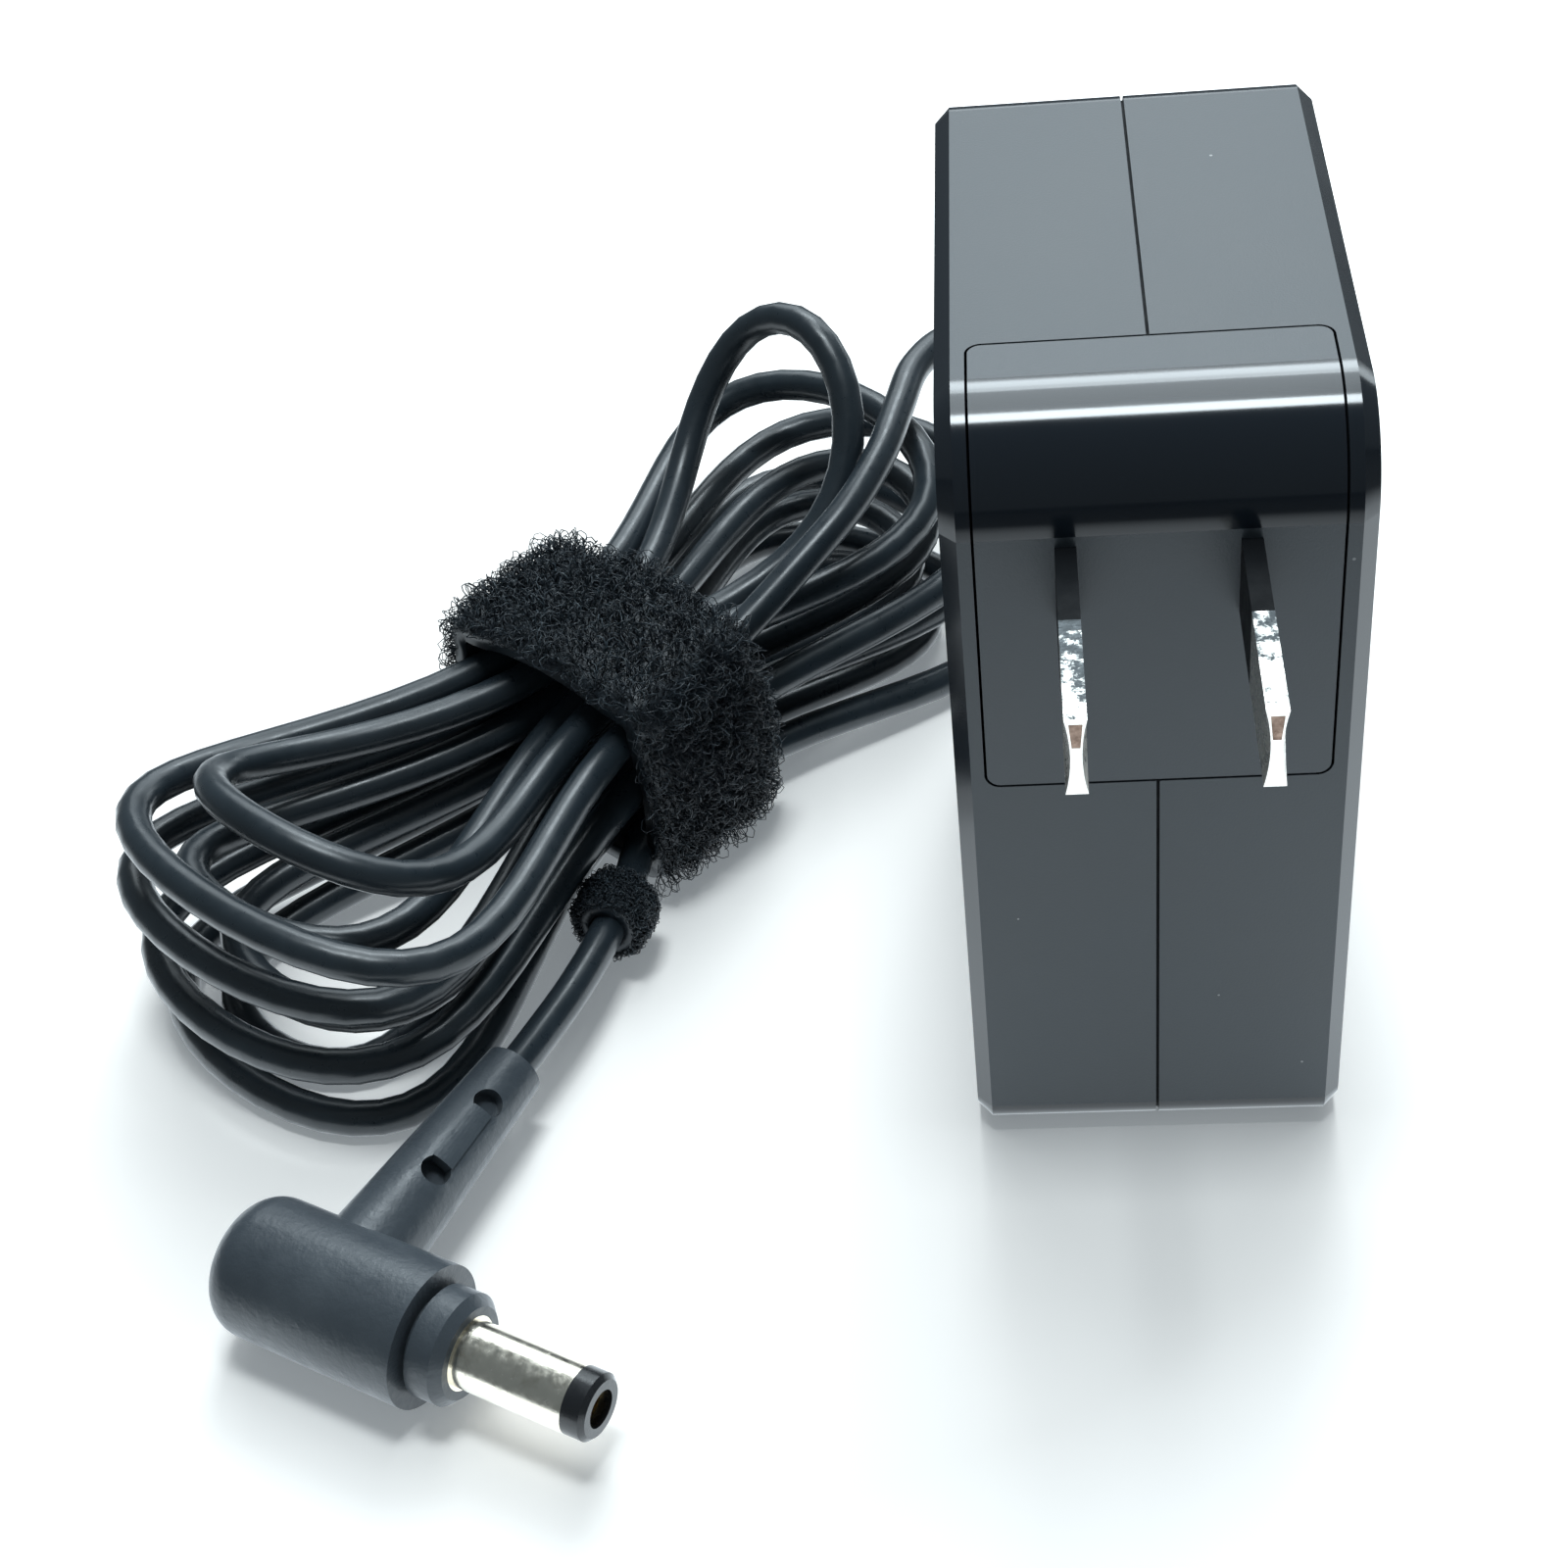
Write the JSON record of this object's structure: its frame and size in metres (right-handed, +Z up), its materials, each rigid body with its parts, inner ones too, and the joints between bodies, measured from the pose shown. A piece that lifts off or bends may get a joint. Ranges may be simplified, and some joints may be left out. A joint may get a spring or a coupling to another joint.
{
  "type": "laptop power adapter",
  "caption": "Black wall-type laptop power adapter with a slide-on head carrying flat blades and a long cord tied in a hank, ending in an angled DC plug.",
  "frame": {"origin": "on the ground under the middle of the box of the housing and its blades", "axes": "+X across the thin side from the left to the right shell, +Y from the blades to the cord outlet, +Z up"},
  "size_m": [0.1068, 0.1214, 0.07],
  "materials": {
    "shell": "satin, fine moulded grain",
    "head": "satin, glossier than the shells",
    "inner_plastic": "satin",
    "blade_metal": "bright nickel, worn at the edges",
    "sleeve": "satin",
    "contact_metal": "bright",
    "board": "gloss",
    "ferrite": "matte",
    "tape": "gloss",
    "can": "sleeved, gloss",
    "film_cap": "gloss",
    "copper": "enamelled",
    "chip": "matte",
    "ceramic_white": "glazed",
    "ceramic_blue": "glazed",
    "ceramic_green": "glazed",
    "sink": "satin",
    "sheet": "satin",
    "cord_jacket": "satin",
    "strap": "brushed loop pile",
    "overmould": "satin",
    "barrel_metal": "bright nickel",
    "tip_plastic": "satin"
  },
  "bodies": {
    "housing": {"housing_left": "shell", "housing_right": "shell", "dock_block": "inner_plastic", "dock_pin_left": "contact_metal", "dock_pin_right": "contact_metal", "circuit_board": "board", "transformer_core": "ferrite", "transformer_coil": "tape", "bulk_capacitor": "can", "x_capacitor": "film_cap", "common_mode_choke": "copper", "bridge_rectifier": "chip", "fuse": "ceramic_white", "thermistor": "ceramic_green", "heat_sink": "sink", "switching_transistor": "chip", "output_capacitors": "can", "y_capacitor": "ceramic_blue", "optocoupler": "chip", "insulating_sheet": "sheet", "cord_gland": "cord_jacket", "lead_adapter": "cord_jacket", "cord_hank": "cord_jacket", "lead_plug": "cord_jacket", "tie_band": "strap", "tie_tail": "strap", "plug_body": "overmould", "plug_barrel": "barrel_metal", "plug_insulator": "tip_plastic", "plug_contact": "contact_metal"},
    "plug_head": {"plug_cap": "head", "plug_back": "inner_plastic", "blade_carrier": "inner_plastic", "blade_left": "blade_metal", "blade_right": "blade_metal", "blade_sleeve_left": "sleeve", "blade_sleeve_right": "sleeve", "contact_left": "contact_metal", "contact_right": "contact_metal"}
  },
  "joints": [
    {"name": "head_slide", "type": "slide", "parent": "housing", "child": "plug_head", "axis": [0, 0, 1], "range_m": [0, 0.02]}
  ]
}
